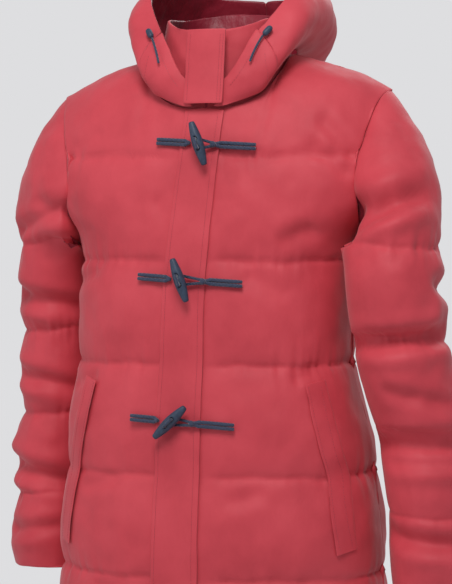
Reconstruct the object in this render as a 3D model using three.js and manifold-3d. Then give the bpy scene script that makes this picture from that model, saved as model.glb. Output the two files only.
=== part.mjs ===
// A woman's padded hooded raincoat, worn closed and hollow, with its hood down.
// Millimetres, +Z up, the fronts face -Y and the wearer's left is +X. The origin lies between the
// shoulders at the height of the neck, where the wearer's shoulders carry the coat.

import * as THREE from 'three';
import { mergeVertices } from 'three/addons/utils/BufferGeometryUtils.js';
import Module from 'manifold-3d';

const wasm = await Module();
wasm.setup();

// Seams, walls and padding
const SEAM_GAP = 0.4;          // between two pieces that are sewn together
const SHELL = 2.5;             // wall along a line of quilting
const PUFF = 9;                // what the padding adds in the middle of a channel
const FLAP = 2.6;              // wall of the placket and the welts
const COLLAR_WALL = 3;
const HOOD_WALL = 3.5;

// The body: level sections from the hem to the chest, then a slope from the chest to the shoulders
const HEM_Z = -840;
const CHEST_Z = -200;
const UNDERARM_RISE = -50;     // the underarm lies this far from the chest level
const RISE = 250;              // length of the way from the chest level over to the shoulder seam
const MIDDLE_CLIMB = 190;      // how far the slope climbs near the middle of the front
const RIDGE_Y = 5;             // the shoulder seam runs just behind the middle
const ROUNDNESS = 2.3;         // 2 is an ellipse, more is squarer
const BODY = [
  { z: HEM_Z, middle: -5, half: 227, front: 156, back: 150 },
  { z: -701, middle: -6, half: 221, front: 153, back: 145 },
  { z: -540, middle: -9, half: 209, front: 143, back: 125 },
  { z: -422, middle: -16, half: 189, front: 134, back: 112 },
  { z: -285, middle: -11, half: 189, front: 130, back: 117 },
  { z: -250, middle: -8, half: 194, front: 124, back: 118 },
  { z: CHEST_Z, middle: -4, half: 245, front: 116, back: 118 },
  { z: -160, middle: -4, half: 246, front: 115, back: 118 },
];
const SHOULDER = [
  { x: 0, z: 20 },
  { x: 80, z: -8 },
  { x: 120, z: -19 },
  { x: 160, z: -31 },
  { x: 200, z: -46 },
  { x: 250, z: -72 },
];
const QUILT_Z = [HEM_Z, -701, -567, -422, -285, -147, 60];
const CHANNEL_ROWS = [0, 0.2, 0.5, 0.8];

// The armhole, from the underarm to the shoulder tip: how far round the section it lies
const ARMHOLE = [
  { up: 0, round: 1 },
  { up: 0.05, round: 0.8 },
  { up: 0.12, round: 0.645 },
  { up: 0.2, round: 0.575 },
  { up: 0.32, round: 0.575 },
  { up: 0.45, round: 0.618 },
  { up: 0.7, round: 0.676 },
  { up: 1, round: 0.768 },
];
const ARMHOLE_ROWS = [0, 0.05, 0.12, 0.22, 0.35, 0.5, 0.66, 0.83, 1];

// The neckline
const NECK_HALF = 90;
const NECK_FRONT_RISE = 89;    // along the slope, at the middle of the front
const NECK_BACK_RISE = 176;
const NECK_SQUARENESS = 0.55;

// The placket, which leans to the wearer's right on its way down
const PLACKET = [
  { z: HEM_Z, x: -27, width: 66 },
  { z: -694, x: -26, width: 64 },
  { z: -495, x: -23, width: 60 },
  { z: -309, x: -18, width: 57 },
  { z: -131, x: -3, width: 53 },
  { z: -60, x: 1, width: 53 },
  { z: 30, x: 2, width: 53 },
];

// Columns of the cloth grids
const FRONT_COLUMNS = 9;
const NECK_COLUMNS = 4;        // of a front's columns, those that end at the neckline
const BACK_COLUMNS = 8;        // on each side of the middle
const BACK_NECK_COLUMNS = 3;

// The sleeves: oval sections across the arm, from the armhole to the cuff
const LEFT_ARM = [
  { at: 0, x: 208, y: -5, z: -150, tilt: 8, across: 100, along: 78 },
  { at: 45, x: 226, y: -24, z: -188, tilt: 36, across: 86, along: 76 },
  { at: 95, x: 236, y: -46, z: -236, tilt: 62, across: 71, along: 73 },
  { at: 150, x: 243, y: -66, z: -290, tilt: 82, across: 59, along: 69 },
  { at: 215, x: 248, y: -66, z: -353, tilt: 88, across: 58, along: 67 },
  { at: 285, x: 257, y: -52, z: -422, tilt: 90, across: 58, along: 66 },
  { at: 405, x: 284, y: -28, z: -540, tilt: 90, across: 58, along: 65 },
  { at: 590, x: 297, y: -26, z: -722, tilt: 90, across: 56, along: 62 },
];
const RIGHT_ARM = [
  { at: 0, x: 212, y: -5, z: -150, tilt: 8, across: 100, along: 78 },
  { at: 45, x: 233, y: 2, z: -188, tilt: 36, across: 84, along: 74 },
  { at: 95, x: 248, y: 18, z: -236, tilt: 62, across: 67, along: 69 },
  { at: 150, x: 257, y: 36, z: -290, tilt: 82, across: 51, along: 64 },
  { at: 215, x: 262, y: 52, z: -353, tilt: 88, across: 49, along: 61 },
  { at: 285, x: 264, y: 62, z: -422, tilt: 90, across: 49, along: 60 },
  { at: 405, x: 273, y: 66, z: -540, tilt: 90, across: 49, along: 59 },
  { at: 590, x: 282, y: 62, z: -722, tilt: 90, across: 50, along: 58 },
];
const SLEEVE_QUILT = [0, 130, 250, 370, 485, 590];
const SLEEVE_BLEND = 130;      // the armhole's outline fades out of the sleeve over this length

// The hood lies back: a profile from the neck seam over the fold to the rim, every few degrees
const HOOD = [
  { turn: 12, foldX: 24, foldY: -110, foldZ: -62, rimX: 23, rimY: -108, rimZ: -48 },
  { turn: 24, foldX: 45, foldY: -109, foldZ: -52, rimX: 38, rimY: -104, rimZ: -34 },
  { turn: 38, foldX: 70, foldY: -104, foldZ: -42, rimX: 53, rimY: -96, rimZ: -4 },
  { turn: 55, foldX: 95, foldY: -94, foldZ: -20, rimX: 66, rimY: -85, rimZ: 19 },
  { turn: 68, foldX: 114, foldY: -76, foldZ: 10, rimX: 78, rimY: -70, rimZ: 37 },
  { turn: 82, foldX: 128, foldY: -44, foldZ: 34, rimX: 94, rimY: -48, rimZ: 62 },
  { turn: 98, foldX: 133, foldY: 2, foldZ: 42, rimX: 106, rimY: -14, rimZ: 86 },
  { turn: 118, foldX: 132, foldY: 68, foldZ: 38, rimX: 110, rimY: 46, rimZ: 95 },
  { turn: 142, foldX: 110, foldY: 140, foldZ: 6, rimX: 94, rimY: 122, rimZ: 91 },
  { turn: 162, foldX: 64, foldY: 184, foldZ: -44, rimX: 58, rimY: 172, rimZ: 84 },
  { turn: 180, foldX: 0, foldY: 198, foldZ: -66, rimX: 0, rimY: 188, rimZ: 80 },
];
const HOOD_BAND_END = 55;      // the band's seam
const HOOD_PROFILE_ROWS = 7;

// The collar's upper edge
const COLLAR_TOP = { half: 74, front: -90, back: 64, frontZ: 18, sideZ: 40, backZ: 52 };
const COLLAR_COLUMNS = 28;
const COLLAR_ROWS = 4;
const COLLAR_SPLIT = 1;        // degrees each side of the middle of the front, where it opens

// The toggles: middle, and lean of the upper end from upright to the wearer's left
const TOGGLE_LENGTH = 60;
const TOGGLE_RADIUS = 8;
const TOGGLE_END_RADIUS = 4.2;
const TOGGLE_HOLE_RADIUS = 3;
const TOGGLE_HOLE_SPACING = 13;
const CORD_RADIUS = 2.5;
const TOGGLE_SIDES = 16;
const CORD_SIDES = 8;
const KNOT_RADIUS = 4.6;
const KNOT_REACH = 9;           // from the knot to where the cord is sewn down
const FASTENINGS = [
  { x: 0, z: -131, lean: -18, loopEnd: -62, knot: 17, legEnd: 72, legLift: 2.3 },
  { x: -19, z: -309, lean: -19, loopEnd: -81, knot: 10, legEnd: 60, legLift: 1.4 },
  { x: -30, z: -494, lean: 46, loopEnd: -88, knot: -2, legEnd: 53, legLift: 1.9 },
];

// The welts, from top to bottom on the wearer's left; the right one mirrors it
const WELT = [
  { down: 0, x: 143, z: -446, width: 20 },
  { down: 0.25, x: 156, z: -500, width: 22 },
  { down: 0.5, x: 169, z: -556, width: 22 },
  { down: 0.75, x: 178, z: -612, width: 22 },
  { down: 1, x: 186, z: -668, width: 20 },
];
const WELT_ROWS = 26;
const WELT_COLUMNS = 3;

// The hood's drawcord ends
const DRAWCORD_RADIUS = 1.5;
const STOPPER = { length: 17, radius: 4.6 };
const DRAWCORD_TAIL = [
  { along: 0, down: 0, out: 0 },
  { along: 15, down: 4, out: 0 },
  { along: 26, down: 15, out: 0 },
];

// How far things lie off what carries them
const FLAP_LIFT = 0.5;
const WELT_LIFT = 1.6;
const CORD_LIFT = 2.3;        // under a loop
const TOGGLE_LIFT = 1.2;
const HOOD_LIFT = 9.5;
const CORD_SLOPE = 0.06;       // the cords fall a little to the wearer's left
const HOLE_CORD_RADIUS = 2;    // the cord squeezed through a toggle's holes
const LOOP_CLEARANCE = 14;
const SLEEVE_CLEARANCE = 5;  // between a sleeve and the body beside it

const cloth = { color: 0xbe4852, roughness: 0.62, metalness: 0 };
const navyCord = { color: 0x2d3750, roughness: 0.85, metalness: 0 };
const navyPlastic = { color: 0x344254, roughness: 0.5, metalness: 0 };

const coat = new THREE.Group();
const vec = (x, y, z) => new THREE.Vector3(x, y, z);
const radians = THREE.MathUtils.degToRad;
const mix = THREE.MathUtils.lerp;
const ease = THREE.MathUtils.smoothstep;

function add(name, geometry, look) {
  const mesh = new THREE.Mesh(geometry, new THREE.MeshStandardMaterial(look));
  mesh.name = name;
  coat.add(mesh);
}

// One column of a table, on a smooth curve through its rows, which rise along the key.
function read(rows, key, column, at) {
  const last = rows.length - 1;
  const place = THREE.MathUtils.clamp(at, rows[0][key], rows[last][key]);
  let i = 0;
  while (i < last - 1 && rows[i + 1][key] < place) i += 1;
  const slope = (k) => {
    const before = rows[Math.max(k - 1, 0)];
    const after = rows[Math.min(k + 1, last)];
    return (after[column] - before[column]) / (after[key] - before[key]);
  };
  const span = rows[i + 1][key] - rows[i][key];
  const t = (place - rows[i][key]) / span;
  const rise = t * t * (3 - 2 * t);
  return mix(rows[i][column], rows[i + 1][column], rise)
    + span * (t * (1 - t) ** 2 * slope(i) - t * t * (1 - t) * slope(i + 1));
}

// A closed wall between two grids of points; a ring's columns join up.
function wall(outer, inner, ring = false) {
  const rows = outer.length;
  const columns = outer[0].length;
  const points = [...outer.flat(), ...inner.flat()];
  const id = (side, j, i) => side * rows * columns + j * columns + (i % columns);
  const faces = [];
  const quad = (a, b, c, d) => faces.push([a, b, c], [a, c, d]);
  const lastColumn = ring ? columns : columns - 1;
  for (let j = 0; j < rows - 1; j += 1) {
    for (let i = 0; i < lastColumn; i += 1) {
      quad(id(0, j, i), id(0, j, i + 1), id(0, j + 1, i + 1), id(0, j + 1, i));
      faces.push([id(1, j, i), id(1, j + 1, i + 1), id(1, j, i + 1)]);
      faces.push([id(1, j, i), id(1, j + 1, i), id(1, j + 1, i + 1)]);
    }
  }
  for (let i = 0; i < lastColumn; i += 1) {
    quad(id(1, 0, i), id(1, 0, i + 1), id(0, 0, i + 1), id(0, 0, i));
    quad(id(0, rows - 1, i), id(0, rows - 1, i + 1), id(1, rows - 1, i + 1), id(1, rows - 1, i));
  }
  if (!ring) {
    for (let j = 0; j < rows - 1; j += 1) {
      quad(id(0, j, 0), id(0, j + 1, 0), id(1, j + 1, 0), id(1, j, 0));
      const end = columns - 1;
      quad(id(1, j, end), id(1, j + 1, end), id(0, j + 1, end), id(0, j, end));
    }
  }
  let volume = 0;
  faces.forEach(([a, b, c]) => {
    volume += points[a].dot(vec().crossVectors(points[b], points[c]));
  });
  const wound = volume < 0 ? faces.map(([a, b, c]) => [a, c, b]) : faces;
  const geometry = new THREE.BufferGeometry().setFromPoints(points);
  geometry.setIndex(wound.flat());
  geometry.computeVertexNormals();
  return geometry;
}

// ---- the body's surface ----

function section(z, face) {
  return {
    middle: read(BODY, 'z', 'middle', z),
    half: read(BODY, 'z', 'half', z),
    depth: read(BODY, 'z', face < 0 ? 'front' : 'back', z),
  };
}

// round runs from -1 at the right side seam over 0 at the middle to 1 at the left side seam, rise is
// the way up from the chest level, and face is -1 on the front and 1 on the back.
function bodyPoint(round, rise, face) {
  const { middle, half, depth } = section(CHEST_Z + Math.min(rise, 0), face);
  const turn = Math.min(Math.abs(round), 1) * Math.PI / 2;
  const x = middle + Math.sign(round) * half * Math.sin(turn) ** (2 / ROUNDNESS);
  const y = face * depth * Math.max(Math.cos(turn), 0) ** (2 / ROUNDNESS);
  if (rise <= 0) return vec(x, y, CHEST_Z + rise);
  const lean = Math.min(rise / RISE, 1) * Math.PI / 2;
  const top = read(SHOULDER, 'x', 'z', Math.abs(x));
  return vec(x, RIDGE_Y + (y - RIDGE_Y) * Math.cos(lean), CHEST_Z + (top - CHEST_Z) * Math.sin(lean));
}

function roundAt(x, rise) {
  const { middle, half } = section(CHEST_Z + Math.min(rise, 0), -1);
  const reach = Math.min(Math.abs(x - middle) / half, 1);
  return Math.sign(x - middle) * Math.asin(reach ** (ROUNDNESS / 2)) * 2 / Math.PI;
}

function bodyNormal(round, rise, face) {
  const step = 0.004;
  const reach = 1.5;
  const inside = Math.min(Math.max(round, -1 + 2 * step), 1 - 2 * step);
  const level = Math.min(rise, RISE - 2 * reach);
  const along = bodyPoint(inside + step, level, face).sub(bodyPoint(inside - step, level, face));
  const up = bodyPoint(inside, level + reach, face).sub(bodyPoint(inside, level - reach, face));
  const normal = along.cross(up).multiplyScalar(-face);
  if (Math.abs(round) > 1 - step || rise > RISE - reach) normal.y = 0;
  return normal.normalize();
}

// The padding swells between the lines of quilting and lies flat under the arms.
function bodyPadding(point, round, seamFade) {
  let channel = 0;
  while (channel < QUILT_Z.length - 2 && QUILT_Z[channel + 1] < point.z) channel += 1;
  const low = QUILT_Z[channel];
  const fraction = THREE.MathUtils.clamp((point.z - low) / (QUILT_Z[channel + 1] - low), 0, 1);
  const underArm = ease(Math.abs(round), 0.5, 0.95) * ease(point.z, -470, -400);
  const swell = Math.sin(Math.PI * fraction) ** 0.7 * (1 - 0.85 * underArm) * seamFade;
  return SHELL + PUFF * swell;
}

// ---- panel grids ----

const bodyRises = [];
QUILT_Z.forEach((low, k) => {
  const high = QUILT_Z[k + 1];
  if (high === undefined) return;
  CHANNEL_ROWS.forEach((part) => {
    const rise = mix(low, high, part) - CHEST_Z;
    if (rise < UNDERARM_RISE - 12) bodyRises.push(rise);
  });
});

function necklinePoint(angle, isBack) {
  const low = isBack ? NECK_BACK_RISE : NECK_FRONT_RISE;
  const reach = Math.sin(angle) ** NECK_SQUARENESS;
  const rise = mix(low, RISE, 1 - Math.max(Math.cos(angle), 0) ** NECK_SQUARENESS);
  return { x: NECK_HALF * reach, rise };
}

// The upper edge of one half of a panel: the neckline, then the shoulder seam.
function upperEdge(columns, neckColumns, isBack) {
  const tip = read(ARMHOLE, 'up', 'round', 1);
  const tipX = Math.abs(bodyPoint(tip, RISE, 1).x);
  return Array.from({ length: columns + 1 }, (_, i) => {
    if (i <= neckColumns) return necklinePoint((i / neckColumns) * Math.PI / 2, isBack);
    return { x: mix(NECK_HALF, tipX, (i - neckColumns) / (columns - neckColumns)), rise: RISE };
  });
}

function placketX(z, side) {
  return read(PLACKET, 'z', 'x', z) + side * read(PLACKET, 'z', 'width', z) / 2;
}

// A row of a panel's half, from the middle to the side: where each column lies on the body.
function panelRow(side, isBack, up, rise, edge) {
  const columns = edge.length - 1;
  const end = side * (up === 0 ? 1 : read(ARMHOLE, 'up', 'round', up));
  const heights = edge.map((point) => mix(rise, point.rise, up));
  const levelOf = (k) => CHEST_Z + Math.min(heights[k], 0)
    + (heights[k] > 0 ? MIDDLE_CLIMB * Math.sin((heights[k] / RISE) * Math.PI / 2) : 0);
  const start = isBack ? 1 : 2;
  const rounds = [];
  for (let i = 0; i < start; i += 1) {
    const x = i === 0 ? read(PLACKET, 'z', 'x', levelOf(i)) : placketX(levelOf(i), side);
    rounds.push(isBack ? 0 : roundAt(x, heights[i]));
  }
  const first = rounds[start - 1];
  const firstTop = isBack ? 0 : roundAt(placketX(-83, side), edge[1].rise);
  const endTop = side * read(ARMHOLE, 'up', 'round', 1);
  for (let i = start; i <= columns; i += 1) {
    const even = (i - start + 1) / (columns - start + 1);
    const top = (roundAt(side * edge[i].x, edge[i].rise) - firstTop) / (endTop - firstTop);
    rounds.push(i === columns ? end : mix(first, end, mix(even, top, up)));
  }
  return rounds.map((round, i) => ({ round, rise: heights[i] }));
}

function panelRows(side, isBack, edge) {
  const lower = bodyRises.map((rise) => panelRow(side, isBack, 0, rise, edge));
  const upper = ARMHOLE_ROWS.map((up) => panelRow(side, isBack, up, UNDERARM_RISE, edge));
  return [...lower, ...upper];
}

// Points on the inside and the outside of a panel; its edges draw back by half a seam's gap.
function panelWalls(places, face, fadeOf) {
  const outer = [];
  const inner = [];
  places.forEach((row, j) => {
    outer.push([]);
    inner.push([]);
    row.forEach(({ round, rise }, i) => {
      const point = bodyPoint(round, rise, face);
      const normal = bodyNormal(round, rise, face);
      const pad = bodyPadding(point, round, fadeOf(j, i));
      if (Math.abs(round) > 0.999 || rise > RISE - 0.01) point.y += face * SEAM_GAP / 2;
      inner[j].push(point.clone());
      outer[j].push(point.clone().addScaledVector(normal, pad));
    });
  });
  return { outer, inner };
}

const fadeNear = (steps) => [0.2, 0.45, 0.85][steps] ?? 1;

function frontPanel(side) {
  const edge = upperEdge(FRONT_COLUMNS, NECK_COLUMNS, false);
  edge[1] = { x: Math.abs(placketX(-83, side)), rise: NECK_FRONT_RISE + 0.5 };
  const places = panelRows(side, false, edge);
  const rows = places.length;
  const fade = (j, i) => fadeNear(FRONT_COLUMNS - i) * fadeNear(rows - 1 - j) * (i < 2 ? 0.45 : 1);
  const walls = panelWalls(places, -1, fade);
  [walls.outer, walls.inner].forEach((grid) => grid.forEach((row) => {
    row[0].x += side * SEAM_GAP / 2;
  }));
  return walls;
}

function backPanel() {
  const edge = upperEdge(BACK_COLUMNS, BACK_NECK_COLUMNS, true);
  const right = panelRows(-1, true, edge);
  const left = panelRows(1, true, edge);
  const places = right.map((row, j) => [...row.slice(1).reverse(), ...left[j]]);
  const rows = places.length;
  const fade = (j, i) => fadeNear(Math.min(i, 2 * BACK_COLUMNS - i)) * fadeNear(rows - 1 - j);
  return panelWalls(places, 1, fade);
}

const fronts = { left: frontPanel(1), right: frontPanel(-1) };
const back = backPanel();
add('front_left', wall(fronts.left.outer, fronts.left.inner), cloth);
add('front_right', wall(fronts.right.outer, fronts.right.inner), cloth);
add('back', wall(back.outer, back.inner), cloth);

// ---- sleeves ----

// The armhole's rim, round from the underarm up the front to the shoulder tip and down the back.
function armholeRing(side, layer) {
  const front = (side > 0 ? fronts.left : fronts.right)[layer];
  const first = front.length - ARMHOLE_ROWS.length;
  const frontEdge = front.slice(first).map((row) => row[FRONT_COLUMNS]);
  const backEdge = back[layer].slice(first).map((row) => row[side > 0 ? 2 * BACK_COLUMNS : 0]);
  const ring = [...frontEdge, ...backEdge.slice(1, -1).reverse()];
  return ring.map((point) => point.clone().add(vec(side * SEAM_GAP, 0, 0)));
}

function armSection(arm, side, at) {
  const part = (column) => read(arm, 'at', column, at);
  const tilt = radians(part('tilt'));
  return {
    centre: vec(side * part('x'), part('y'), part('z')),
    outward: vec(side * Math.sin(tilt), 0, Math.cos(tilt)),
    across: part('across'),
    along: part('along'),
  };
}

// How far from the middle the coat's side reaches at this height, next to a point of the sleeve.
function bodySide(side, point, rim) {
  const face = point.y < RIDGE_Y ? -1 : 1;
  if (point.z < CHEST_Z + UNDERARM_RISE) {
    const { middle, half, depth } = section(point.z, face);
    const reach = Math.max(1 - Math.min(Math.abs(point.y) / depth, 1) ** ROUNDNESS, 0) ** (1 / ROUNDNESS);
    return reach > 0 ? side * middle + half * reach + SHELL + 2 : 0;
  }
  const half = Math.ceil(rim.length / 2);
  const edge = face < 0 ? rim.slice(0, half + 1) : [rim[0], ...rim.slice(half).reverse()];
  for (let k = 0; k < edge.length - 1; k += 1) {
    const [low, high] = [edge[k], edge[k + 1]];
    if (point.z >= low.z && point.z <= high.z) {
      return side * mix(low.x, high.x, (point.z - low.z) / (high.z - low.z + 1e-6));
    }
  }
  return 0;
}

function sleeve(side, arm) {
  const inside = armholeRing(side, 'inner');
  const outside = armholeRing(side, 'outer');
  const clear = (point, margin) => {
    const least = bodySide(side, point, outside) + margin;
    if (side * point.x < least) point.x = side * least;
    return point;
  };
  const count = inside.length;
  const root = armSection(arm, side, 0);
  const angles = inside.map((point, k) => {
    const arm0 = point.clone().sub(root.centre);
    const angle = Math.atan2(arm0.y / root.along, arm0.dot(root.outward) / root.across);
    return k > 0 && k >= count / 2 + 1 && angle < 0 ? angle + 2 * Math.PI : angle;
  });
  const even = angles.map((_, k) => -Math.PI + (k / count) * 2 * Math.PI);
  const stations = [];
  SLEEVE_QUILT.slice(0, -1).forEach((low, c) => {
    CHANNEL_ROWS.forEach((part) => stations.push(mix(low, SLEEVE_QUILT[c + 1], part)));
  });
  stations.push(SLEEVE_QUILT.at(-1));
  const base = stations.map((at) => {
    const { centre, outward, across, along } = armSection(arm, side, at);
    const blend = ease(at, 0, SLEEVE_BLEND);
    return inside.map((start, k) => {
      const angle = mix(angles[k] > Math.PI ? angles[k] - 2 * Math.PI : angles[k], even[k], blend);
      const tube = centre.clone()
        .addScaledVector(outward, across * Math.cos(angle))
        .add(vec(0, along * Math.sin(angle), 0));
      const carried = start.clone().add(centre).sub(root.centre);
      return clear(carried.lerp(tube, ease(at, 0, SLEEVE_BLEND * 0.8)), SLEEVE_CLEARANCE + SHELL);
    });
  });
  base[0] = inside;
  const outer = base.map((ring, j) => {
    if (j === 0) return outside;
    const next = base[Math.min(j + 1, base.length - 1)];
    const channel = SLEEVE_QUILT.findLastIndex((q, c) => q <= stations[j] && c < SLEEVE_QUILT.length - 1);
    const low = SLEEVE_QUILT[channel];
    const fraction = (stations[j] - low) / (SLEEVE_QUILT[channel + 1] - low);
    return ring.map((point, k) => {
      const down = next[k].clone().sub(base[j - 1][k]);
      const about = ring[(k + 1) % count].clone().sub(ring[(k + count - 1) % count]);
      const normal = down.cross(about).normalize();
      if (normal.dot(point.clone().sub(armSection(arm, side, stations[j]).centre)) < 0) normal.negate();
      const towardBody = Math.max(0, -normal.x * side);
      const swell = Math.sin(Math.PI * Math.min(fraction, 1)) ** 0.7 * (1 - 0.8 * towardBody);
      return clear(point.clone().addScaledVector(normal, SHELL + PUFF * swell), SLEEVE_CLEARANCE);
    });
  });
  return wall(outer, base, true);
}

const sleeves = { left: sleeve(1, LEFT_ARM), right: sleeve(-1, RIGHT_ARM) };
add('sleeve_left', sleeves.left, cloth);
add('sleeve_right', sleeves.right, cloth);

// ---- collar and hood, on the neckline ----

// The neckline's corners from the middle of the front to the middle of the back, on each side.
function neckCorners(side) {
  const front = (side > 0 ? fronts.left : fronts.right);
  const last = front.inner.length - 1;
  const corners = [];
  for (let i = 0; i <= NECK_COLUMNS; i += 1) {
    corners.push({ turn: (i / NECK_COLUMNS) * 90, inside: front.inner[last][i], outside: front.outer[last][i] });
  }
  const backLast = back.inner.length - 1;
  for (let i = BACK_NECK_COLUMNS - 1; i >= 0; i -= 1) {
    const column = BACK_COLUMNS + side * i;
    corners.push({
      turn: 180 - (i / BACK_NECK_COLUMNS) * 90,
      inside: back.inner[backLast][column],
      outside: back.outer[backLast][column],
    });
  }
  return corners;
}
const necks = { left: neckCorners(1), right: neckCorners(-1) };

// A point of the neckline; turn is 0 at the middle of the front and 180 at the middle of the back.
function neckPoint(turn, layer) {
  const corners = turn < 0 ? necks.right : necks.left;
  const size = Math.min(Math.abs(turn), 180);
  const k = Math.min(corners.findLastIndex((corner) => corner.turn <= size), corners.length - 2);
  const part = (size - corners[k].turn) / (corners[k + 1].turn - corners[k].turn);
  return corners[k][layer].clone().lerp(corners[k + 1][layer], part);
}

function outwardFrom(point, distance, lift) {
  const flat = vec(point.x, point.y + 20, 0).normalize().multiplyScalar(distance);
  return point.clone().add(flat).add(vec(0, 0, lift));
}

// Where the hood is sewn on: just off the outside of the neckline.
function hoodFoot(turn) {
  const outside = neckPoint(turn, 'outside');
  const across = outside.clone().sub(neckPoint(turn, 'inside')).normalize();
  return outside.addScaledVector(across, HOOD_LIFT);
}

function collarTop(turn) {
  const around = radians(turn);
  const forward = Math.cos(around);
  const reach = forward > 0 ? -COLLAR_TOP.front : COLLAR_TOP.back;
  const end = forward > 0 ? COLLAR_TOP.frontZ : COLLAR_TOP.backZ;
  const x = COLLAR_TOP.half * Math.sign(Math.sin(around)) * Math.abs(Math.sin(around)) ** 0.8;
  return vec(x, -Math.sign(forward) * reach * Math.abs(forward) ** 0.8, mix(COLLAR_TOP.sideZ, end, forward ** 2));
}

const collarTurns = Array.from({ length: COLLAR_COLUMNS + 1 }, (_, i) => (
  mix(-180 + COLLAR_SPLIT, 180 - COLLAR_SPLIT, i / COLLAR_COLUMNS)));
const collarGrid = (layer) => Array.from({ length: COLLAR_ROWS + 1 }, (_, j) => (
  collarTurns.map((shifted) => {
    const turn = shifted > 0 ? 180 - shifted : -180 - shifted;
    const foot = outwardFrom(neckPoint(turn, 'inside'), -COLLAR_WALL - 1.2, 0);
    return outwardFrom(foot.lerp(collarTop(turn), j / COLLAR_ROWS), layer, 0);
  })));
add('collar', wall(collarGrid(COLLAR_WALL), collarGrid(0)), cloth);

function hoodPoint(turn, side, t) {
  const at = (column) => read(HOOD, 'turn', column, turn);
  const foot = hoodFoot(side * turn);
  const fold = vec(side * at('foldX'), at('foldY'), at('foldZ'));
  const rim = vec(side * at('rimX'), at('rimY'), at('rimZ'));
  const pull = fold.multiplyScalar(2).addScaledVector(foot, -0.5).addScaledVector(rim, -0.5);
  return foot.multiplyScalar((1 - t) ** 2)
    .addScaledVector(pull, 2 * t * (1 - t))
    .addScaledVector(rim, t * t);
}

function hoodPiece(side, fromTurn, toTurn, columns) {
  const turns = Array.from({ length: columns + 1 }, (_, i) => mix(fromTurn, toTurn, i / columns));
  const parts = Array.from({ length: HOOD_PROFILE_ROWS + 1 }, (_, j) => j / HOOD_PROFILE_ROWS);
  const outer = parts.map((t) => turns.map((turn) => hoodPoint(turn, side, t)));
  const inner = parts.map((t, j) => turns.map((turn, i) => {
    const along = hoodPoint(Math.min(turn + 2, 180), side, t).sub(hoodPoint(turn - 2, side, t));
    const low = hoodPoint(turn, side, Math.max(t - 0.02, 0));
    const up = hoodPoint(turn, side, Math.min(t + 0.02, 1)).sub(low);
    const normal = along.cross(up).multiplyScalar(side).normalize();
    if (turn > 179) normal.x = 0;
    return outer[j][i].clone().addScaledVector(normal, -HOOD_WALL);
  }));
  return wall(outer, inner);
}

[['left', 1], ['right', -1]].forEach(([name, side]) => {
  add(`hood_band_${name}`, hoodPiece(side, HOOD[0].turn, HOOD_BAND_END - 0.3, 5), cloth);
  add(`hood_side_${name}`, hoodPiece(side, HOOD_BAND_END, 179.8, 16), cloth);
});

// ---- placket ----

// Both fronts' first two columns carry the placket, which lies just clear of them.
function placketGrid(lift) {
  return fronts.right.outer.map((row, j) => {
    const leftRow = fronts.left.outer[j];
    const middle = row[0].clone().lerp(leftRow[0], 0.5);
    return [row[1], middle, leftRow[1]].map((point) => point.clone().add(vec(0, -lift, 0)));
  });
}
add('placket', wall(placketGrid(FLAP_LIFT + FLAP), placketGrid(FLAP_LIFT)), cloth);

const collarFlapGrid = (lift) => [0.02, 0.3, 0.6, 0.85, 1].map((up) => [-1, 0, 1].map((column) => {
  const z = mix(-80, COLLAR_TOP.frontZ + 2, up);
  const y = mix(-115.4, COLLAR_TOP.front - 13.4, up) + Math.abs(column) * 2.5;
  return vec(read(PLACKET, 'z', 'x', z) + column * 26.5, y - lift, z);
}));
add('placket_collar', wall(collarFlapGrid(FLAP), collarFlapGrid(0)), cloth);

// ---- what is sewn onto the fronts ----

const seats = ['front_left', 'front_right', 'placket'].map((name) => coat.getObjectByName(name));
coat.updateMatrixWorld(true);
const caster = new THREE.Raycaster();

// The depth at which something dropped onto the front at (x, z) lands.
function frontDepth(x, z) {
  caster.set(vec(x, -600, z), vec(0, 1, 0));
  const hit = caster.intersectObjects(seats, false)[0];
  return hit ? hit.point.y : caster.ray.origin.y;
}

function weltGrid(side, lift) {
  return Array.from({ length: WELT_ROWS + 1 }, (_, j) => {
    const down = j / WELT_ROWS;
    const width = read(WELT, 'down', 'width', down);
    return Array.from({ length: WELT_COLUMNS + 1 }, (__, i) => {
      const x = side * (read(WELT, 'down', 'x', down) + (i / WELT_COLUMNS) * width) - 5;
      const z = read(WELT, 'down', 'z', down) + (i / WELT_COLUMNS) * 6;
      return vec(x, frontDepth(x, z) - lift, z);
    });
  });
}
[['left', 1], ['right', -1]].forEach(([name, side]) => {
  add(`pocket_welt_${name}`, wall(weltGrid(side, WELT_LIFT + FLAP), weltGrid(side, WELT_LIFT)), cloth);
});

// ---- fastenings ----

function solidOf(geometry) {
  const bare = geometry.clone();
  bare.deleteAttribute('normal');
  bare.deleteAttribute('uv');
  const merged = mergeVertices(bare, 1e-4);
  return new wasm.Manifold(new wasm.Mesh({
    numProp: 3,
    vertProperties: new Float32Array(merged.attributes.position.array),
    triVerts: new Uint32Array(merged.index.array),
  }));
}

function geometryOf(solid) {
  const { vertProperties, triVerts } = solid.getMesh();
  const geometry = new THREE.BufferGeometry();
  geometry.setAttribute('position', new THREE.BufferAttribute(vertProperties, 3));
  geometry.setIndex(new THREE.BufferAttribute(triVerts, 1));
  geometry.computeVertexNormals();
  return geometry;
}

function rod(from, to, radius) {
  const geometry = new THREE.CylinderGeometry(radius, radius, from.distanceTo(to) + radius, CORD_SIDES);
  const turn = new THREE.Quaternion().setFromUnitVectors(vec(0, 1, 0), to.clone().sub(from).normalize());
  geometry.applyQuaternion(turn);
  const middle = from.clone().lerp(to, 0.5);
  return geometry.translate(middle.x, middle.y, middle.z);
}

function ball(at, radius) {
  return new THREE.SphereGeometry(radius, CORD_SIDES, 6).translate(at.x, at.y, at.z);
}

// A cord through its points, as one solid.
function cordSolid(points, radius) {
  const pieces = points.slice(1).map((to, k) => solidOf(rod(points[k], to, radius)));
  return pieces.reduce((sum, piece) => sum.add(piece));
}

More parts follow.
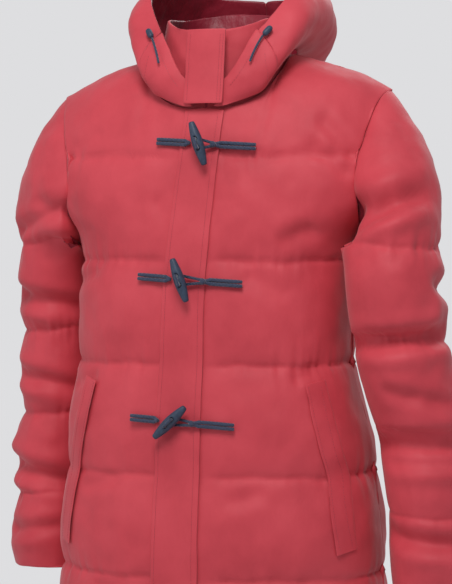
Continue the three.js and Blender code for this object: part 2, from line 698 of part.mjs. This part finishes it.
function toggleSolid(direction, centre) {
  const half = TOGGLE_LENGTH / 2;
  const outline = [[0, -half], [TOGGLE_END_RADIUS * 0.8, -half + 0.6], [TOGGLE_END_RADIUS, -half + 2],
    [TOGGLE_RADIUS * 0.85, -half * 0.45], [TOGGLE_RADIUS, 0], [TOGGLE_RADIUS * 0.85, half * 0.45],
    [TOGGLE_END_RADIUS, half - 2], [TOGGLE_END_RADIUS * 0.8, half - 0.6], [0, half]];
  const body = new THREE.LatheGeometry(outline.map(([x, y]) => new THREE.Vector2(x, y)), TOGGLE_SIDES);
  const turn = new THREE.Quaternion().setFromUnitVectors(vec(0, 1, 0), direction);
  body.applyQuaternion(turn).translate(centre.x, centre.y, centre.z);
  let solid = solidOf(body);
  [-1, 1].forEach((end) => {
    const at = centre.clone().addScaledVector(direction, end * TOGGLE_HOLE_SPACING / 2);
    const ahead = at.clone().setY(at.y - 2 * TOGGLE_RADIUS);
    const behind = at.clone().setY(at.y + 2 * TOGGLE_RADIUS);
    solid = solid.subtract(solidOf(rod(ahead, behind, TOGGLE_HOLE_RADIUS)));
  });
  return solid;
}

FASTENINGS.forEach((row, k) => {
  const lean = radians(row.lean);
  const direction = vec(Math.sin(lean), 0, Math.cos(lean));
  const lowest = [-1, -0.5, 0, 0.5, 1].map((end) => frontDepth(
    row.x + direction.x * end * TOGGLE_LENGTH / 2, row.z + direction.z * end * TOGGLE_LENGTH / 2));
  const centre = vec(row.x, Math.min(...lowest) - 2 * CORD_RADIUS - TOGGLE_RADIUS - TOGGLE_LIFT, row.z);
  add(`toggle_${k + 1}`, geometryOf(toggleSolid(direction, centre)), navyPlastic);
  const behind = centre.y + TOGGLE_RADIUS + CORD_RADIUS + 0.6;
  const laid = (x, z, lift) => vec(x, frontDepth(x, z) - CORD_RADIUS - lift, z);
  const slope = (x) => row.z - (x - row.x) * CORD_SLOPE;
  const leg = (from, to, shift, lift) => Array.from({ length: 4 }, (_, i) => {
    const x = mix(from, to, i / 3);
    return laid(x, slope(x) + shift, lift);
  });
  const apart = CORD_RADIUS + 0.1;
  const holes = [1, -1].map((end) => centre.clone().addScaledVector(direction, end * TOGGLE_HOLE_SPACING / 2));
  const back = holes.map((at) => at.clone().setY(behind));
  const front = holes.map((at) => at.clone().setY(centre.y - TOGGLE_RADIUS - HOLE_CORD_RADIUS - 0.6));
  const knot = laid(row.knot, slope(row.knot), row.legLift).add(vec(0, -2.4, 0));
  const through = cordSolid([knot.clone().add(vec(0, 0, 1.6)), back[0], front[0], front[1], back[1],
    knot.clone().add(vec(0, 0, -1.6))], HOLE_CORD_RADIUS);
  const legs = [1, -1].map((shift) => {
    const sewn = leg(row.knot + KNOT_REACH, row.legEnd, shift * apart, row.legLift);
    return cordSolid([knot, ...sewn], CORD_RADIUS);
  });
  const toggleCord = through.add(legs[0]).add(legs[1]).add(solidOf(ball(knot, KNOT_RADIUS)));
  add(`toggle_cord_${k + 1}`, geometryOf(toggleCord), navyCord);
  const nearest = row.x - LOOP_CLEARANCE - Math.abs(direction.x) * 8;
  const loopTurn = laid(nearest, slope(nearest), CORD_LIFT);
  const loop = [1, -1].map((shift) => cordSolid([
    ...leg(row.loopEnd, nearest - 6, shift * apart, CORD_LIFT), loopTurn], CORD_RADIUS));
  add(`loop_${k + 1}`, geometryOf(loop[0].add(loop[1])), navyCord);
});

// ---- the hood's drawcord ends ----

[['left', 1], ['right', -1]].forEach(([name, side]) => {
  const out = (turn, t, lift) => {
    const at = hoodPoint(turn, side, t);
    return at.add(vec(at.x, at.y + 20, 0).normalize().multiplyScalar(lift));
  };
  const lower = out(50, 0.93, STOPPER.radius + 4);
  const upper = out(64, 0.93, STOPPER.radius + 4);
  const along = upper.clone().sub(lower).normalize();
  const stopper = new THREE.CapsuleGeometry(STOPPER.radius, STOPPER.length - 2 * STOPPER.radius, 3, 10);
  stopper.applyQuaternion(new THREE.Quaternion().setFromUnitVectors(vec(0, 1, 0), along));
  const middle = lower.clone().lerp(upper, 0.5);
  add(`stopper_${name}`, stopper.translate(middle.x, middle.y, middle.z), navyPlastic);
  const start = middle.clone().addScaledVector(along, -STOPPER.length / 2 - 1.4);
  const tail = DRAWCORD_TAIL.map(({ along: a, down, out: o }) => (
    start.clone().addScaledVector(along, -a).add(vec(0, -o, -down))));
  add(`drawcord_${name}`, geometryOf(cordSolid(tail, DRAWCORD_RADIUS)), navyCord);
});

export default coat;
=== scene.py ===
# The looks of a padded, quilted raincoat with toggles, worn closed, around its CAD frame. Metres.
import math
import bmesh
import bpy
import numpy as np
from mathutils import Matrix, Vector, noise
from mathutils.bvhtree import BVHTree


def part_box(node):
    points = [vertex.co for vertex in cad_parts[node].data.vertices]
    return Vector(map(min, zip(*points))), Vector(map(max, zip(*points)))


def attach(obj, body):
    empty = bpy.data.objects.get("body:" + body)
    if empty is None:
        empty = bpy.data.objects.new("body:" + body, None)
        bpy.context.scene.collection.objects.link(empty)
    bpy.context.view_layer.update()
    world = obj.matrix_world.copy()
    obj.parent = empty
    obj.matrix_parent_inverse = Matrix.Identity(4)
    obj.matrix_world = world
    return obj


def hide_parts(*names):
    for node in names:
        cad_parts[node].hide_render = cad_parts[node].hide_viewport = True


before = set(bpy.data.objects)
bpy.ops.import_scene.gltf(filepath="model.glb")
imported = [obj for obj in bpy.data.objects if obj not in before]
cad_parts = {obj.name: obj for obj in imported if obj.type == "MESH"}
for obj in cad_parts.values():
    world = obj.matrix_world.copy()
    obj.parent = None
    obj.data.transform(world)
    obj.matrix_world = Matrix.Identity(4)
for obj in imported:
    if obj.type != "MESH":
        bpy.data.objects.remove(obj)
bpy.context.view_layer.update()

# ---- the camera, at the photograph's angle ----
AZIMUTH = math.radians(17)
DISTANCE = 3.0
CAMERA_Z = -0.211
PITCH = math.radians(2.27)
LENS = 135.6

camera_data = bpy.data.cameras.new("camera")
camera_data.lens = LENS
camera_data.sensor_width = 36
camera_data.shift_x = -0.0034
camera = bpy.data.objects.new("camera", camera_data)
bpy.context.scene.collection.objects.link(camera)
camera.location = (DISTANCE * math.sin(AZIMUTH), -DISTANCE * math.cos(AZIMUTH), CAMERA_Z)
camera.rotation_euler = (math.pi / 2 - PITCH, 0, AZIMUTH)
bpy.context.scene.camera = camera


def linear(red, green, blue):
    """An sRGB colour, 0 to 255, as Blender's linear one."""
    parts = [c / 255 for c in (red, green, blue)]
    return tuple(p / 12.92 if p <= 0.04045 else ((p + 0.055) / 1.055) ** 2.4 for p in parts) + (1.0,)


# ---- materials ----

class Nodes:
    """A material's nodes, made one after another."""

    def __init__(self, name, roughness, **uniform):
        self.material = bpy.data.materials.new(name)
        self.material.use_nodes = True
        self.tree = self.material.node_tree
        self.shader = self.tree.nodes["Principled BSDF"]
        self.shader.inputs["Roughness"].default_value = roughness
        for socket, value in uniform.items():
            self.shader.inputs[socket.replace("_", " ")].default_value = value
        self.coords = self.tree.nodes.new("ShaderNodeTexCoord").outputs["Object"]

    def node(self, kind, values=None, **settings):
        made = self.tree.nodes.new(kind)
        for key, value in settings.items():
            setattr(made, key, value)
        for key, value in (values or {}).items():
            if isinstance(value, bpy.types.NodeSocket):
                self.tree.links.new(value, made.inputs[key])
            else:
                made.inputs[key].default_value = value
        return made

    def noise(self, scale, detail=3.0, stretch=(1, 1, 1)):
        mapped = self.node("ShaderNodeMapping", {"Vector": self.coords, "Scale": stretch})
        return self.node("ShaderNodeTexNoise", {
            "Vector": mapped.outputs["Vector"], "Scale": scale, "Detail": detail}).outputs["Fac"]

    def ramp(self, factor, stops):
        made = self.node("ShaderNodeValToRGB", {"Fac": factor})
        for k, (place, colour) in enumerate(stops):
            stop = made.color_ramp.elements[k] if k < 2 else made.color_ramp.elements.new(place)
            stop.position = place
            stop.color = colour
        return made.outputs["Color"]

    def bump(self, height, strength, distance, under=None):
        values = {"Height": height, "Strength": strength, "Distance": distance}
        if under is not None:
            values["Normal"] = under
        return self.node("ShaderNodeBump", values).outputs["Normal"]

    def finish(self, colour, normal, roughness=None):
        self.tree.links.new(colour, self.shader.inputs["Base Color"])
        self.tree.links.new(normal, self.shader.inputs["Normal"])
        if roughness is not None:
            self.tree.links.new(roughness, self.shader.inputs["Roughness"])
        return self.material


def woven(name, dark, mid, light, roughness, crinkle, sheen):
    """A closely woven cloth: two crossed sets of threads, soft mottling and small wrinkles."""
    m = Nodes(name, roughness, Sheen_Weight=sheen, Sheen_Roughness=0.4, Specular_IOR_Level=0.28)
    mottle = m.noise(14, 4)
    colour = m.ramp(mottle, [(0.3, dark), (0.7, light), (0.5, mid)])
    warp = m.node("ShaderNodeTexWave", {"Vector": m.coords, "Scale": 420.0, "Distortion": 1.5},
                  bands_direction="X").outputs["Fac"]
    weft = m.node("ShaderNodeTexWave", {"Vector": m.coords, "Scale": 420.0, "Distortion": 1.5},
                  bands_direction="Z").outputs["Fac"]
    threads = m.node("ShaderNodeMath", {0: warp, 1: weft}, operation="ADD").outputs[0]
    wrinkles = m.bump(m.noise(55, 5, (1, 1, 0.6)), crinkle, 0.004)
    normal = m.bump(threads, 0.12, 0.0003, wrinkles)
    rough = m.node("ShaderNodeMapRange", {
        "Value": m.noise(40, 3), "To Min": roughness - 0.06, "To Max": roughness + 0.06}).outputs["Result"]
    return m.finish(colour, normal, rough)


SHELL = woven("shell_cloth", linear(190, 60, 71), linear(200, 66, 77), linear(206, 71, 82), 0.58, 0.22, 0.15)
LINING = woven("lining_cloth", linear(112, 24, 40), linear(134, 32, 48), linear(150, 42, 58), 0.38, 0.8, 0.1)


def braided(name):
    m = Nodes(name, 0.8, Sheen_Weight=0.3, Sheen_Roughness=0.5)
    fibres = m.noise(900, 2)
    colour = m.ramp(fibres, [(0.3, linear(33, 41, 62)), (0.75, linear(58, 70, 98))])
    braid = m.node("ShaderNodeTexWave", {"Vector": m.coords, "Scale": 130.0, "Distortion": 2.0},
                   bands_direction="DIAGONAL").outputs["Fac"]
    return m.finish(colour, m.bump(braid, 0.7, 0.0008, m.bump(fibres, 0.4, 0.0004)))


def moulded(name, dark, light):
    m = Nodes(name, 0.48, Specular_IOR_Level=0.4)
    grain = m.noise(260, 3)
    return m.finish(m.ramp(grain, [(0.35, dark), (0.7, light)]), m.bump(grain, 0.15, 0.0003))


CORD = braided("braided_cord")
PLASTIC = moulded("toggle_plastic", linear(44, 56, 76), linear(56, 70, 90))
THREAD = moulded("thread", linear(158, 52, 64), linear(182, 70, 82))

# ---- the cloth ----
MM = 0.001
QUILT_Z = [-0.701, -0.567, -0.422, -0.285, -0.147]

# Creases of the fronts and back: ends (x, z), depth and width in mm, face -1 front and 1 back
BODY_CREASES = [
    (-200, -318, -150, -300, 4.0, 9, -1), (-195, -455, -150, -436, 3.0, 8, -1),
    (60, -300, 120, -330, 3.0, 12, -1), (105, -262, 150, -240, 3.5, 10, -1),
    (120, -440, 150, -425, 3.5, 9, -1), (40, -600, 95, -585, 2.5, 10, -1),
    (-170, -590, -110, -572, 3.5, 9, -1), (-150, -720, -90, -712, 3.5, 9, -1),
    (150, -95, 196, -150, 4.0, 9, -1), (140, -130, 192, -175, 3.0, 8, -1),
    (-195, -140, -150, -110, 3.0, 10, -1), (-60, -200, -40, -250, 2.0, 9, -1),
    (-150, -310, -60, -300, 3.0, 10, 1), (30, -330, 140, -300, 4.0, 12, 1),
    (-140, -450, -40, -436, 3.0, 10, 1), (60, -600, 150, -585, 3.5, 11, 1),
    (-170, -120, -110, -180, 3.5, 10, 1), (120, -180, 175, -110, 3.0, 9, 1),
]
# Creases round a sleeve: height in mm where they start and end, angle in degrees from the front
# toward the outside where they start and end, depth and width in mm
SLEEVE_CREASES = {
    "sleeve_left": [
        (-235, -90, -195, 60, 9.0, 13), (-265, -70, -215, 20, 6.0, 10), (-395, -80, -375, 90, 9.0, 12),
        (-525, -80, -520, 100, 11.0, 14), (-548, -60, -545, 60, 5.0, 9), (-640, -70, -655, 90, 8.0, 12),
        (-310, 60, -335, 170, 6.0, 12), (-450, -20, -470, 60, 4.0, 10),
    ],
    "sleeve_right": [
        (-240, -80, -205, 20, 7.0, 12), (-222, -20, -250, 60, 5.0, 10), (-355, -70, -335, 70, 8.0, 12),
        (-470, -60, -445, 60, 7.0, 11), (-605, -70, -575, 80, 10.0, 13), (-500, 80, -520, 170, 6.0, 12),
        (-660, -50, -672, 60, 4.0, 10),
    ],
}


def new_piece(name, node):
    """A copy of a node's solid, with doubled points merged, as an object of its own."""
    piece = bpy.data.objects.new(name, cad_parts[node].data.copy())
    bpy.context.scene.collection.objects.link(piece)
    piece.data.materials.clear()
    bm = bmesh.new()
    bm.from_mesh(piece.data)
    bmesh.ops.remove_doubles(bm, verts=bm.verts, dist=2e-5)
    bm.to_mesh(piece.data)
    bm.free()
    return piece


def apply_modifiers(piece):
    depsgraph = bpy.context.evaluated_depsgraph_get()
    mesh = bpy.data.meshes.new_from_object(piece.evaluated_get(depsgraph))
    piece.modifiers.clear()
    piece.data = mesh


RIM_ANGLE = math.radians(55)
RIM_CREASE = 0.85


def refine(piece, levels, join=True):
    if join:
        bm = bmesh.new()
        bm.from_mesh(piece.data)
        bmesh.ops.join_triangles(bm, faces=bm.faces, angle_face_threshold=math.pi,
                                 angle_shape_threshold=math.pi)
        bm.to_mesh(piece.data)
        bm.free()
    bm = bmesh.new()
    bm.from_mesh(piece.data)
    creases = bm.edges.layers.float.new("crease_edge")
    for edge in bm.edges:
        if len(edge.link_faces) == 2 and edge.calc_face_angle() > RIM_ANGLE:
            edge[creases] = RIM_CREASE
    bm.to_mesh(piece.data)
    bm.free()
    subsurf = piece.modifiers.new("smooth", "SUBSURF")
    subsurf.levels = levels
    subsurf.render_levels = levels
    apply_modifiers(piece)
    piece.data.polygons.foreach_set("use_smooth", [True] * len(piece.data.polygons))


def arrays(piece):
    mesh = piece.data
    points = np.empty(len(mesh.vertices) * 3)
    normals = np.empty(len(mesh.vertices) * 3)
    mesh.vertices.foreach_get("co", points)
    mesh.vertices.foreach_get("normal", normals)
    return points.reshape(-1, 3), normals.reshape(-1, 3)


def set_points(piece, points):
    piece.data.vertices.foreach_set("co", points.ravel())
    piece.data.update()


def segment_trough(u, v, crease):
    """How deep a soft crease is at (u, v): full along its line, fading at its ends."""
    u0, v0, u1, v1, depth, width = crease
    du, dv = u1 - u0, v1 - v0
    length = math.hypot(du, dv)
    along = ((u - u0) * du + (v - v0) * dv) / length ** 2
    off = np.abs((u - u0) * dv - (v - v0) * du) / length
    ends = np.clip(np.minimum(along, 1 - along) * 4 + 0.35, 0, 1)
    shoulder = np.exp(-((off - 1.9 * width) / width) ** 2) * 0.35
    return depth * (np.exp(-(off / width) ** 2) - shoulder) * ends * ends * (3 - 2 * ends)


def ripple(along, across, seed):
    """Puckers along a line of stitching: uneven waves that differ from line to line."""
    waves = np.zeros_like(along)
    for k, (length, size) in enumerate([(31, 0.5), (19, 0.6), (12.5, 0.45)]):
        phase = 2.3 * seed + 1.7 * k
        drift = 5 * np.sin(along / 47 + phase)
        waves += size * np.sin(2 * math.pi * (along + drift) / length + phase)
    strength = 0.55 + 0.45 * np.sin(along / 38 + seed * 1.9)
    return waves * strength * np.exp(-np.abs(across) / 15)


def drift(points, size, scale, seed):
    return np.array([noise.noise(Vector(p) / scale + Vector((seed, 0, 0))) for p in points]) * size


def stitched_lines(distance_to_lines, along):
    """The groove and the puckers at each line of quilting, in mm."""
    total = np.zeros_like(along)
    for k, across in enumerate(distance_to_lines):
        wavy = across + 1.3 * np.sin(along / 26 + k) + 0.8 * np.sin(along / 9.5 + 2 * k)
        total -= 5.2 * np.exp(-np.abs(wavy) / 5.5)
        total += 1.7 * ripple(along, across, k)
    return total


def shape_body(piece, face):
    points, normals = arrays(piece)
    mm = points / MM
    outside = np.clip((normals[:, 1] * face * 0.9 + normals[:, 0] * np.sign(points[:, 0]) * 0.5
                       + normals[:, 2] * 0.4 * (mm[:, 2] > -140)) * 2.5, -1, 1)
    girth = np.arctan2(mm[:, 0], -mm[:, 1] * -face) * 170
    lift = stitched_lines([mm[:, 2] - z / MM for z in QUILT_Z], girth)
    for x0, z0, x1, z1, depth, width, crease_face in BODY_CREASES:
        if crease_face == face:
            lift -= segment_trough(mm[:, 0], mm[:, 2], (x0, z0, x1, z1, depth, width))
    lift += drift(points, 3.2, 0.07, 3 if face < 0 else 8) + drift(points, 1.2, 0.024, 5)
    placket = np.exp(-((mm[:, 0] + 12) / 42) ** 4) if face < 0 else 0
    lift = lift * (1 - 0.9 * placket)
    set_points(piece, points + normals * (lift * MM * outside)[:, None])


ARM_AXIS = {
    "sleeve_left": [(208, -5, -150), (236, -46, -236), (243, -66, -290), (248, -66, -353),
                    (257, -52, -422), (284, -28, -540), (297, -26, -722)],
    "sleeve_right": [(-212, -5, -150), (-248, 18, -236), (-257, 36, -290), (-262, 52, -353),
                     (-264, 62, -422), (-273, 66, -540), (-282, 62, -722)],
}
SLEEVE_FOLD = 1.5       # how much deeper the sleeves' folds are than their padding alone
SLEEVE_QUILT_Z = {"sleeve_left": [-262, -385, -504, -617], "sleeve_right": [-262, -385, -504, -617]}


def shape_sleeve(piece, name):
    points, normals = arrays(piece)
    mm = points / MM
    axis = np.array(ARM_AXIS[name])[::-1]
    centre = np.stack([np.interp(mm[:, 2], axis[:, 2], axis[:, k]) for k in range(2)], axis=1)
    side = 1 if name == "sleeve_left" else -1
    from_axis = mm[:, :2] - centre
    away = from_axis / (np.linalg.norm(from_axis, axis=1)[:, None] + 1e-6)
    outside = np.clip((normals[:, 0] * away[:, 0] + normals[:, 1] * away[:, 1]) * 2.5, -1, 1)
    inner_side = np.clip(-away[:, 0] * side, 0, 1)
    angle = np.degrees(np.arctan2(from_axis[:, 0] * side, -from_axis[:, 1]))
    girth = np.radians(angle) * 60
    slope = 14 * np.sin(np.radians(angle))
    lift = stitched_lines([mm[:, 2] - z + slope * 0.3 for z in SLEEVE_QUILT_Z[name]], girth)
    for z0, a0, z1, a1, depth, width in SLEEVE_CREASES[name]:
        lift -= SLEEVE_FOLD * segment_trough(angle, mm[:, 2], (a0, z0, a1, z1, depth, width))
    lift += drift(points, 4.5, 0.06, 11 + side) + drift(points, 1.6, 0.022, 17)
    lift = np.where(lift > 0, lift * (1 - inner_side), lift * (1 - 0.5 * inner_side))
    fade = np.clip((-60 - mm[:, 2]) / 40, 0.25, 1)
    set_points(piece, points + normals * (lift * MM * outside * fade)[:, None])


def shape_hood(piece, seed):
    points, normals = arrays(piece)
    lift = drift(points, 3.0, 0.05, seed) + drift(points, 1.2, 0.018, seed + 4)
    set_points(piece, points + normals * (lift * MM * 0.8)[:, None])


def colour_sides(piece, is_lining):
    """The shell on the outside and the lining where it shows."""
    piece.data.materials.clear()
    piece.data.materials.append(SHELL)
    piece.data.materials.append(LINING)
    for polygon in piece.data.polygons:
        polygon.material_index = int(is_lining(polygon))


def declare(piece, node):
    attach(piece, "root")
    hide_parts(node)


def faces_in(polygon):
    """Faces that look at the axis of the body."""
    inward = Vector((-polygon.center.x, -polygon.center.y + 0.01, 0)).normalized()
    return polygon.normal.dot(inward) > 0.2


def faces_in_arm(name):
    axis = np.array(ARM_AXIS[name])[::-1] * MM

    def test(polygon):
        z = polygon.center.z
        middle = [np.interp(z, axis[:, 2], axis[:, k]) for k in range(2)]
        inward = Vector((middle[0] - polygon.center.x, middle[1] - polygon.center.y, 0)).normalized()
        return polygon.normal.dot(inward) > 0.25
    return test


LEVELS = 3
for node, face in (("front_left", -1), ("front_right", -1), ("back", 1)):
    piece = new_piece(node + "_cloth", node)
    refine(piece, LEVELS)
    colour_sides(piece, faces_in)
    shape_body(piece, face)
    declare(piece, node)

for node in ("sleeve_left", "sleeve_right"):
    piece = new_piece(node + "_cloth", node)
    refine(piece, LEVELS)
    colour_sides(piece, faces_in_arm(node))
    shape_sleeve(piece, node)
    declare(piece, node)

for k, node in enumerate(("hood_side_left", "hood_side_right", "hood_band_left", "hood_band_right")):
    piece = new_piece(node + "_cloth", node)
    refine(piece, LEVELS)
    shape_hood(piece, 20 + 3 * k)
    colour_sides(piece, lambda polygon: polygon.normal.dot(
        Vector((-polygon.center.x, 0.03 - polygon.center.y, 0.04)).normalized()) > 0.25)
    declare(piece, node)

piece = new_piece("collar_cloth", "collar")
refine(piece, LEVELS)
shape_hood(piece, 41)
colour_sides(piece, faces_in)
declare(piece, "collar")

WELT_FLAT = (0.032, 0.236)      # both welts' cut, measured round the curve of the fronts

for node, flat in (("placket", (0.060, 0.765)), ("placket_collar", (0.054, 0.100)),
                   ("pocket_welt_left", WELT_FLAT), ("pocket_welt_right", WELT_FLAT)):
    piece = new_piece(node + "_cloth", node)
    refine(piece, LEVELS)
    points, normals = arrays(piece)
    set_points(piece, points + normals * (drift(points, 0.9, 0.03, 50) * MM)[:, None])
    piece.data.materials.append(SHELL)
    declare(piece, node)

# ---- stitching: rows of short rounded stitches on what they hold ----
STITCH_LENGTH = 0.0026
STITCH_STEP = 0.0036
STITCH_RADIUS = 0.00032
RING = 5


def capsule(start, end, radius, verts, faces):
    """A short closed rod with pointed ends, added to the lists."""
    axis = (end - start).normalized()
    across = axis.orthogonal().normalized()
    other = axis.cross(across)
    first = len(verts)
    verts.append(start)
    for part in (0.2, 0.8):
        middle = start.lerp(end, part)
        for k in range(RING):
            angle = 2 * math.pi * k / RING
            verts.append(middle + radius * (math.cos(angle) * across + math.sin(angle) * other))
    verts.append(end)
    last = len(verts) - 1
    for k in range(RING):
        a, b = first + 1 + k, first + 1 + (k + 1) % RING
        faces.append((first, b, a))
        faces.append((a, b, b + RING, a + RING))
        faces.append((last, a + RING, b + RING))


def stitch_row(name, surfaces, route, toward):
    """Stitches along a route of points, dropped onto the nearest surface along a direction."""
    depsgraph = bpy.context.evaluated_depsgraph_get()
    trees = [BVHTree.FromObject(surface, depsgraph) for surface in surfaces]
    verts, faces = [], []
    for start, end in zip(route, route[1:]):
        start, end = Vector(start), Vector(end)
        count = max(int((end - start).length / STITCH_STEP), 1)
        for k in range(count):
            at = start.lerp(end, k / count)
            to = at + (end - start).normalized() * STITCH_LENGTH
            landed = []
            for point in (at, to):
                hits = [tree.ray_cast(point - toward * 0.3, toward) for tree in trees]
                hits = [hit for hit in hits if hit[0] is not None]
                if hits:
                    landed.append(min(hits, key=lambda hit: hit[3])[0] - toward * STITCH_RADIUS * 0.4)
            if len(landed) == 2 and (landed[0] - landed[1]).length < 2 * STITCH_LENGTH:
                capsule(landed[0], landed[1], STITCH_RADIUS, verts, faces)
    mesh = bpy.data.meshes.new(name)
    mesh.from_pydata(verts, [], faces)
    mesh.materials.append(THREAD)
    stitches = bpy.data.objects.new(name, mesh)
    bpy.context.scene.collection.objects.link(stitches)
    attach(stitches, "root")


INWARD = Vector((0, 1, 0))
# The placket's middle and width down the front: z, x, width
PLACKET_LINE = [(-0.835, -0.027, 0.066), (-0.694, -0.026, 0.064), (-0.495, -0.023, 0.060),
                (-0.309, -0.018, 0.057), (-0.131, -0.003, 0.053), (-0.090, 0.0, 0.053)]
# The hood's band, inside its front edge and inside its seam: distance from the middle, z
HOOD_TUNNEL_LINE = [(0.036, -0.055), (0.046, -0.043), (0.058, -0.022), (0.068, -0.003)]
HOOD_SEAM_LINE = [(0.081, -0.060), (0.085, -0.040), (0.080, -0.012)]
# The welts' front edge: distance from the middle, z
WELT_LINE = [(0.143, -0.448), (0.156, -0.500), (0.169, -0.556), (0.178, -0.612), (0.186, -0.662)]
placket_pieces = [bpy.data.objects["placket_cloth"]]
for row, (side, inset) in enumerate(((-1, 0.004), (1, 0.008))):
    route = [(x + side * (width / 2 - inset), -0.2, z) for z, x, width in PLACKET_LINE]
    stitch_row(f"placket_stitches_{row + 1}", placket_pieces, route, INWARD)
flap = [bpy.data.objects["placket_collar_cloth"]]
for row, x in enumerate((-0.0215, 0.0235, 0.0195)):
    stitch_row(f"collar_flap_stitches_{row + 1}", flap, [(x, -0.2, -0.074), (x + 0.002, -0.2, 0.014)], INWARD)
for name, side in (("left", 1), ("right", -1)):
    band = [bpy.data.objects[f"hood_band_{name}_cloth"]]
    tunnel = [(side * x, -0.2, z) for x, z in HOOD_TUNNEL_LINE]
    stitch_row(f"hood_tunnel_stitches_{name}", band, tunnel, INWARD)
    seam = [(side * x, -0.2, z) for x, z in HOOD_SEAM_LINE]
    stitch_row(f"hood_seam_stitches_{name}", band, seam, INWARD)
    welt = [bpy.data.objects[f"pocket_welt_{name}_cloth"]]
    for row, inset in enumerate((0.0035, 0.0165)):
        route = [(side * (x + inset) - 0.005, -0.2, z) for x, z in WELT_LINE]
        stitch_row(f"welt_stitches_{name}_{row + 1}", welt, route, INWARD)

# ---- fastenings ----
for k in (1, 2, 3):
    for node, slot, material in ((f"toggle_{k}", "toggle", PLASTIC), (f"toggle_cord_{k}", "cord", CORD),
                                 (f"loop_{k}", "cord", CORD)):
        piece = new_piece(node + "_piece", node)
        refine(piece, 1, join=False)
        piece.data.materials.append(material)
        declare(piece, node)

for side in ("left", "right"):
    piece = new_piece(f"stopper_{side}_piece", f"stopper_{side}")
    refine(piece, 2)
    piece.data.materials.append(PLASTIC)
    declare(piece, f"stopper_{side}")

for side in ("left", "right"):
    low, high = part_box(f"drawcord_{side}")
    node_points = np.array([v.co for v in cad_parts[f"drawcord_{side}"].data.vertices])
    start = node_points[node_points[:, 2] > high.z - 0.0035].mean(axis=0)
    end = node_points[node_points[:, 2] < low.z + 0.0035].mean(axis=0)
    bend = node_points[np.abs(node_points[:, 2] - start[2] * 0.62 - end[2] * 0.38) < 0.006].mean(axis=0)
    curve = bpy.data.curves.new(f"drawcord_{side}_cord", "CURVE")
    curve.dimensions = "3D"
    curve.bevel_depth = 0.0015
    curve.bevel_resolution = 3
    curve.use_fill_caps = True
    spline = curve.splines.new("POLY")
    steps = 18
    spline.points.add(steps)
    route = []
    for k in range(steps + 1):
        t = k / steps
        route.append(Vector(start) * (1 - t) ** 2 + Vector(bend) * 2 * t * (1 - t) + Vector(end) * t * t)
        spline.points[k].co = (*route[-1], 1)
    curve.materials.append(CORD)
    cord = bpy.data.objects.new(f"drawcord_{side}_cord", curve)
    bpy.context.scene.collection.objects.link(cord)
    declare(cord, f"drawcord_{side}")

# ---- light, floor and backdrop ----
FLOOR_Z = -1.45
FLOOR_SIZE = 6


def plain(name, colour):
    m = Nodes(name, 0.9)
    return m.finish(m.ramp(m.noise(3, 2), [(0.4, colour), (0.6, colour)]), m.bump(m.noise(60), 0.02, 0.001))


bpy.ops.mesh.primitive_plane_add(size=FLOOR_SIZE, location=(0, 0, FLOOR_Z))
floor = bpy.context.object
floor.name = "floor"
floor.data.materials.append(plain("floor_paint", linear(226, 226, 228)))

world = bpy.data.worlds.new("studio")
bpy.context.scene.world = world
world.use_nodes = True
links = world.node_tree.links
ambient = world.node_tree.nodes["Background"]
ambient.inputs["Color"].default_value = linear(238, 240, 244)
ambient.inputs["Strength"].default_value = 0.43
seen = world.node_tree.nodes.new("ShaderNodeBackground")
seen.inputs["Color"].default_value = linear(222, 222, 224)
seen.inputs["Strength"].default_value = 1.0
path = world.node_tree.nodes.new("ShaderNodeLightPath")
blend = world.node_tree.nodes.new("ShaderNodeMixShader")
links.new(path.outputs["Is Camera Ray"], blend.inputs["Fac"])
links.new(ambient.outputs["Background"], blend.inputs[1])
links.new(seen.outputs["Background"], blend.inputs[2])
links.new(blend.outputs["Shader"], world.node_tree.nodes["World Output"].inputs["Surface"])


def area_light(name, place, target, size, power):
    data = bpy.data.lights.new(name, "AREA")
    data.size = size
    data.energy = power
    light = bpy.data.objects.new(name, data)
    bpy.context.scene.collection.objects.link(light)
    light.location = place
    light.rotation_euler = (Vector(target) - Vector(place)).to_track_quat("-Z", "Y").to_euler()


area_light("key", (0.35, -2.0, 1.8), (0, 0, -0.1), 1.1, 52)
area_light("fill", (-2.0, -1.9, 0.3), (0, 0, -0.4), 1.8, 12)
area_light("rim", (0.5, 2.2, 1.4), (0, 0, -0.3), 1.4, 22)

bpy.context.scene.view_settings.view_transform = "Standard"
